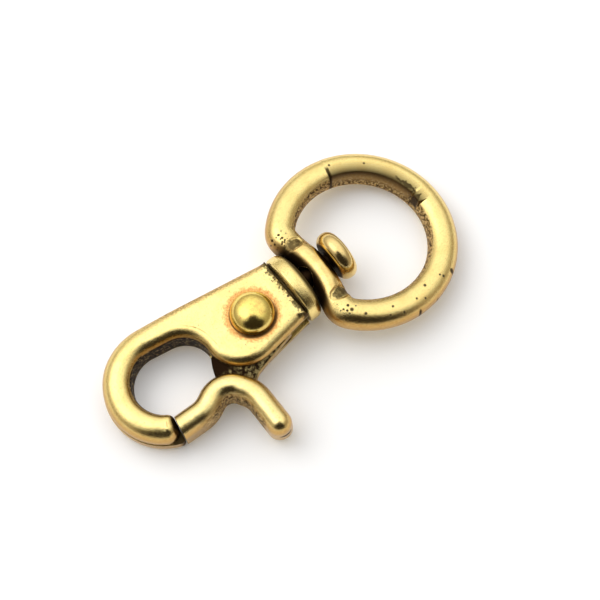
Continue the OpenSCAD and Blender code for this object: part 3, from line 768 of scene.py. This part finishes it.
def make_lever():
    """Gate arm, crest and thumb tab: a slab of even width along a line with rounded bends. Its tip is
    round, and its start is cut parallel to the nose's end face."""
    turns = [corner(*BENDS[k:k + 3], r, n) for k, (r, n) in enumerate(BEND_ROUNDING)]
    line = resample(np.concatenate([BENDS[:1], *turns, BENDS[4:]]), 300)
    d = np.gradient(line, axis=0)
    d /= np.hypot(*d.T)[:, None]
    side = np.stack([-d[:, 1], d[:, 0]], 1)
    tip = np.radians(np.linspace(86, 4, 30))[:, None]
    chains = []
    for sign in (-1, 1):
        round_tip = line[-1] + BAR * (np.cos(tip) * d[-1] + sign * np.sin(tip) * side[-1])
        chain = np.concatenate([line + sign * BAR * side, round_tip])
        chain[:8] += d[0] * np.linspace(1, 0, 8)[:, None] * (GATE_AT - OUT @ chain[0]) / (OUT @ d[0])
        chains.append(chain)
    right, left = chains
    k = len(left)
    full = np.ones(k)
    verts, faces, (lane, place, _) = slab(
        right, left, SKIN_T, (EDGE_W * full, EDGE_W * full), (RIGHT_H * full, LEFT_H * full), flat_start=True)
    along = step(20, 90, place) * step(k - 34, k - 56, place)
    rough = np.where(lane == RIGHT, step(2.0, 1.3, verts[:, 2]) * along, 0)
    # Painted shade on the gate's end face, in the gap to the nose
    dark = np.where(lane == START, 0.85, 0)
    make_piece("lever_casting", (verts, faces), HOOK_FRAME, {"rough": rough, "dark": dark}, "lever",
               LEVER_BRASS, "trigger_lever")


def make_web():
    """Web of the lever between the cheeks: a bevelled prism with a bore for the rivet. Oxide and painted shade
    of the hollow make it dark but for a bare strip in the middle of its lower wall."""
    foot = polar(RIVET, 5.5, -62)
    outline = np.concatenate([arc(RIVET, 3.9, -58, 165, 60), WEB_BACK, resample([(-3.9, -6.65), foot], 8)])
    low = WEB_TOP - WEB_T
    levels = ((WEB_BEVEL, low), (0, low + WEB_BEVEL), (0, WEB_TOP - WEB_BEVEL), (WEB_BEVEL, WEB_TOP))
    shape = prism(outline, levels)
    x, y, z = shape[0].T
    strip = (y < -4.6) & (x > -4.2) & (np.abs(z - WEB_TOP + WEB_T / 2) < 0.55)
    # Near-black: oxide and painted shade of the hollow between the cheeks
    masks = {"rough": 0.3, "dark": np.where(strip, 0.12, 1.0)}
    bore, bore_faces = lathe([(WEB_BORE, -3.0), (WEB_BORE, 3.0)], 60)
    bore[:, :2] += RIVET
    # The bore's faces take painted shade
    make_piece("lever_web", shape, HOOK_FRAME, masks, "lever", LEVER_BRASS,
               cutters=[((bore, bore_faces), {"dark": 0.8})])


make_lever()
make_web()

# Rivet and stud
HEAD_R, RIM, DOME, DOME_POWER = 2.975, 0.35, 2.14, 0.96
RIVET_LOWER = [(0.2, -3.1), (1.9, -3.06), (2.2, -2.9), (2.3, -2.65), (2.2, -2.5), (1.5, -2.49), (1.5, 2.49)]
HEAD_W, HEAD_E, STUD_R, SHANK_R = 2.6, 1.22, 3.55, 1.19


def make_rivet():
    """Rivet turned round Z: a flat tail, a shank, and a domed head that is nearly an ellipse over a low
    rim."""
    profile = RIVET_LOWER + [(HEAD_R - 0.06, 2.5), (HEAD_R, 2.58), (HEAD_R, 2.8)]
    for a in np.radians(np.linspace(90, 2, 50)):
        profile.append((HEAD_R * math.sin(a) ** DOME_POWER, HALF_T + RIM + DOME * math.cos(a)))
    verts, faces = lathe(profile, 180)
    r = np.hypot(verts[:, 0], verts[:, 1])
    verts[:, :2] += RIVET
    # Painted shadow at the rim's foot and the tail's edge; painted tan shade on the dome's outer part
    masks = {"dark": step(2.62, 2.5, verts[:, 2]) * (r > 2), "side": 0.5 * step(2.2, 2.95, r)}
    make_piece("rivet_turned", (verts, faces), HOOK_FRAME, masks, "hook", RIVET_BRASS, "pivot_rivet")


def make_stud():
    """Stud turned round X: a shank out of the collar and a button head with rounded edges, which ends
    just short of the CAD node's tip."""
    tip_x = node_points("swivel_stud", HOOK_FRAME)[:, 0].max()
    head_x = tip_x - 0.14 - HEAD_W
    end_x = head_x + HEAD_W
    core = STUD_R - HEAD_E
    quarter = np.radians(np.linspace(0, 90, 22))
    profile = [(0.3, 5.96), (SHANK_R, 5.97), (SHANK_R, head_x - 0.02)]
    profile += [(core + HEAD_E * math.sin(a), head_x + HEAD_E - HEAD_E * math.cos(a)) for a in quarter]
    profile += [(core + HEAD_E * math.cos(a), end_x - HEAD_E + HEAD_E * math.sin(a)) for a in quarter[1:]]
    profile += [(1.2, end_x + 0.1), (0.3, end_x + 0.13)]
    shape = lathe_x(profile, 160)
    # Painted shade on the shank and the back of the head, in the gap by the ring's bar; a little tan shade
    dark = step(head_x + 0.2, head_x + 0.02, shape[0][:, 0])
    masks = {"dark": dark, "warm": 0.08, "side": 0.2}
    make_piece("stud_turned", shape, HOOK_FRAME, masks, "hook", STUD_BRASS, "swivel_stud")


make_rivet()
make_stud()

# Ring: inner and outer radius, the bar's circle and width, and the depths of its flaws
RING_I, RING_O, BOW_R, BAR_W = 9.05, 13.1, 14.0, 3.4
CUTBACK_DEPTH, NICK_DEPTH, FACET_DEPTH = 0.42, 0.25, 0.22
HOLE_R = 1.64
N_T, N_SECTION = 1200, 72
theta = np.linspace(0, 2 * math.pi, N_T, endpoint=False)
DEG = np.degrees(theta)
RAY = np.stack([np.cos(theta), np.sin(theta)], 1)
BOW = np.array([-7.7 - BOW_R, 0.0])


def to_bow(radius):
    """Distance along each ray from the ring's centre to a circle about the bow's centre, far where it
    misses."""
    along = RAY @ BOW
    disc = along ** 2 - (BOW @ BOW - radius ** 2)
    return np.where((disc > 0) & (along > 0), along - np.sqrt(np.maximum(disc, 0)), 99.0)


def around(centre):
    """Angle from a direction, in degrees either way."""
    return np.abs((DEG - centre + 180) % 360 - 180)


def make_ring():
    """D-shaped ring: a section of quarter superellipses swept round the centre. In the upper half its
    inner edge is cut back to a jagged ledge; two facets are worn into its top, and a hole for the stud
    goes through the bar."""
    jag = ripple(np.stack([DEG, 0.4 * DEG], 1), 7.0, 5)
    cutback = step(2.5, 8, DEG + 1.5 * jag) * step(78.6, 78.0, DEG)
    nick = step(5.0, 3.6, around(0.5) + 0.8 * jag)
    broken = np.maximum(cutback, nick)
    bar_part = step(36, 20, around(180))
    outer = soft_min(np.full(N_T, RING_O), to_bow(BOW_R - BAR_W / 2), 2.0)
    outer = smooth_loop(outer[:, None], 18)[:, 0]
    inner_low = soft_min(np.full(N_T, RING_I), to_bow(BOW_R + BAR_W / 2), 2.3)
    inner = inner_low + CUTBACK_DEPTH * cutback + NICK_DEPTH * nick
    width = outer - inner
    half_h = 2.0 + 0.41 * bar_part
    # Radius, rounding width and rounding height of the outer side, and of the inner side above and below
    out_side = (outer, 0.5 * width, 1.9 + 0.1 * bar_part)
    in_high = (inner, 0.48 * width * (1 - 0.84 * broken), 1.8 * (1 - 0.8 * broken) + 0.3 * bar_part)
    in_low = (inner_low, 0.48 * (outer - inner_low), 1.8 + 0.3 * bar_part)
    rows = []
    for a in np.radians(np.linspace(0, 360, N_SECTION, endpoint=False) + 2.5):
        ca, sa = math.cos(a), math.sin(a)
        sx, sz = math.copysign(1, ca), math.copysign(1, sa)
        in_side = in_high if sz > 0 else in_low
        rho, e, h = out_side if sx > 0 else in_side
        reach = rho - sx * e + sx * e * abs(ca) ** (2 / POWER)
        rows.append(np.column_stack([RAY * reach[:, None], sz * (half_h - h + h * abs(sa) ** (2 / POWER))]))
    pts = np.concatenate(rows)
    i = np.arange(N_T)
    last = (N_SECTION - 1) * N_T
    wrap = np.stack([last + i, last + (i + 1) % N_T, (i + 1) % N_T, i], -1)
    faces = np.concatenate([grid_faces(N_SECTION, N_T), wrap]).tolist()
    x, y, z = pts.T.copy()
    rad = np.hypot(x, y)
    turn = np.degrees(np.arctan2(y, x)) % 360
    lump = ripple(pts, 1.1, 11)
    facet = np.zeros(len(pts))
    for px, py, (sx, sy), reach in RING_FACETS:
        far = np.hypot((x - px) * sx, (y - py) * sy) + 0.12 * lump
        facet = np.maximum(facet, step(reach, reach - 0.3, far))
    pts[:, 2] -= FACET_DEPTH * facet * (z > 0.3)
    from_inner, from_outer = rad - np.tile(inner, N_SECTION), np.tile(outer, N_SECTION) - rad
    on_bar, on_break = np.tile(bar_part, N_SECTION), np.tile(broken, N_SECTION)
    rough = 0.9 * step(0.75, 0.3, from_inner) * step(1.75, 1.2, z) * (1 - 0.75 * on_bar)
    # Painted shade on the bar's outer side that faces the collar
    collar_side = step(1.2, 0.5, from_outer) * step(34, 22, np.abs(turn - 180)) * step(2.3, 1.7, z)
    crack = step(1.6, 0.6, np.abs(turn - 78.3)) * step(2.2, 1.6, rad - RING_I) * (z > -1.5)
    # Painted shade along the top of the cutback's step
    ledge = on_break * step(0.8, 0.6, from_inner) * step(0.95, 1.3, z)
    dark = np.maximum.reduce([0.95 * collar_side, 0.9 * crack, 0.85 * ledge])
    masks = {"rough": rough, "dark": dark, "warm": 0.03 + 0.3 * on_bar * (0.6 + 0.6 * lump)}
    # The hole's faces take painted shade, near-black and tan
    hole = lathe_x([(HOLE_R, -10.9), (HOLE_R, -4.9)], 72)
    make_piece("ring_casting", (pts, faces), RING_FRAME, masks, "ring", RING_BRASS, "swivel_ring",
               [(hole, {"dark": 0.9, "side": 1.0})])


make_ring()

# Spring
steel = bpy.data.materials.new("spring_steel")
steel.use_nodes = True
steel_shader = steel.node_tree.nodes["Principled BSDF"]
steel_shader.inputs["Base Color"].default_value = (0.35, 0.33, 0.30, 1)
steel_shader.inputs["Metallic"].default_value = 1.0
steel_shader.inputs["Roughness"].default_value = 0.35
spring = frame["nodes"]["torsion_spring"]
spring.data.materials.clear()
spring.data.materials.append(steel)

# Floor, light and camera
YAW, ELEV, DIST = math.radians(38.0), math.radians(69.0), 0.220
CAM_RIGHT = np.array([math.cos(YAW), -math.sin(YAW), 0])
CAM_AHEAD = np.array([math.sin(YAW), math.cos(YAW), 0])
UP = np.array([0, 0, 1.0])
TARGET = np.array([0.00243, -0.00032, 0.0025])
SENSOR, VIEW_WIDTH = 36, 0.080
FLOOR_HALF, FLOOR_WHITE, FLOOR_LIFT = 2.0, (0.95, 0.95, 0.95, 1), 0.12
# Colours of the world: low, overhead, the glow, and the dark side by the camera
SKY_LOW, SKY_HIGH = (0.40, 0.36, 0.31, 1), (1.22, 1.22, 1.22, 1)
SKY_GLOW, SKY_DARK = (1.8, 1.8, 1.8, 1), (0.03, 0.025, 0.02, 1)
SKY_STRENGTH = 1.05
LAMP_SIZE, LAMP_ENERGY, LAMP_FAR = 0.6, 1.8, 0.7


def floor_material():
    """Matt white; rays from the camera, from mirror surfaces and through clear ones see it a little
    brighter."""
    m = bpy.data.materials.new("floor_white")
    m.use_nodes = True
    tree = m.node_tree
    t = Net(tree)
    bsdf = tree.nodes["Principled BSDF"]
    bsdf.inputs["Base Color"].default_value = FLOOR_WHITE
    bsdf.inputs["Roughness"].default_value = 1.0
    bsdf.inputs["Specular IOR Level"].default_value = 0.0
    rays = tree.nodes.new("ShaderNodeLightPath")
    seen = t.most(*(rays.outputs[f"Is {kind} Ray"] for kind in ("Camera", "Glossy", "Transmission")))
    bsdf.inputs["Emission Color"].default_value = (1, 1, 1, 1)
    tree.links.new(t.mul(seen, FLOOR_LIFT), bsdf.inputs["Emission Strength"])
    return m


def make_floor():
    """One flat quad of the stage."""
    mesh = bpy.data.meshes.new("floor")
    half = FLOOR_HALF
    corners = [(-half, -half, 0.0), (half, -half, 0.0), (half, half, 0.0), (-half, half, 0.0)]
    mesh.from_pydata(corners, [], [[0, 1, 2, 3]])
    obj = show("floor", mesh, floor_material())


def make_world():
    """Studio light all round: dim below, white overhead, a glow high on the left, and a dark front of
    three cones on the camera's side."""
    world = bpy.data.worlds.new("studio")
    bpy.context.scene.world = world
    world.use_nodes = True
    tree = world.node_tree
    t = Net(tree)
    ray = tree.nodes.new("ShaderNodeTexCoord").outputs["Generated"]

    def cone(right, ahead, upward, edge, core):
        """1 where a ray is close to a direction, 0 far from it, between two cosines."""
        direction = right * CAM_RIGHT + ahead * CAM_AHEAD + upward * UP
        return t.ramp(t.vector("DOT_PRODUCT", ray, direction / np.linalg.norm(direction)), edge, core)

    sky = t.mix(cone(-0.15, 0.25, 1.0, 0.25, 0.93), SKY_LOW, SKY_HIGH)
    sky = t.mix(cone(-0.5, 0.1, 0.86, 0.86, 0.97), sky, SKY_GLOW)
    high = cone(0.04, -0.54, 0.84, 0.87, 0.95)
    low = cone(0.24, -0.83, 0.50, 0.72, 0.88)
    left_low = cone(-0.20, -0.82, 0.52, 0.82, 0.94)
    background = tree.nodes["Background"]
    tree.links.new(t.mix(t.most(high, low, left_low), sky, SKY_DARK), background.inputs["Color"])
    background.inputs["Strength"].default_value = SKY_STRENGTH


def set_up(name, data, right, upward, back, at):
    """Links an object whose own axes point right, upward and back."""
    obj = bpy.data.objects.new(name, data)
    mat = np.eye(4)
    mat[:3, 0], mat[:3, 1], mat[:3, 2], mat[:3, 3] = right, upward, back, at
    obj.matrix_world = Matrix(mat.tolist())
    bpy.context.scene.collection.objects.link(obj)
    return obj


def make_lamp():
    """Square softbox up on the left, aimed at the middle and not mirrored."""
    data = bpy.data.lights.new("softbox", "AREA")
    data.shape = "SQUARE"
    data.size = LAMP_SIZE
    data.energy = LAMP_ENERGY
    at = LAMP_FAR * (-0.66 * CAM_RIGHT + 0.36 * CAM_AHEAD + 0.66 * UP)
    look = -at / np.linalg.norm(at)
    side = np.cross(look, UP) / np.linalg.norm(np.cross(look, UP))
    lamp = set_up("softbox", data, side, np.cross(side, look), -look, at)
    lamp.visible_glossy = False


def make_camera():
    """Camera that looks down on the target as in the photo."""
    data = bpy.data.cameras.new("camera")
    data.sensor_width = SENSOR
    data.lens = SENSOR * DIST / VIEW_WIDTH
    data.clip_start = 0.01
    back = -math.cos(ELEV) * CAM_AHEAD + math.sin(ELEV) * UP
    upward = math.sin(ELEV) * CAM_AHEAD + math.cos(ELEV) * UP
    bpy.context.scene.camera = set_up("camera", data, CAM_RIGHT, upward, back, TARGET + back * DIST)


make_floor()
make_world()
make_lamp()
make_camera()
bpy.context.scene.view_settings.view_transform = "Standard"
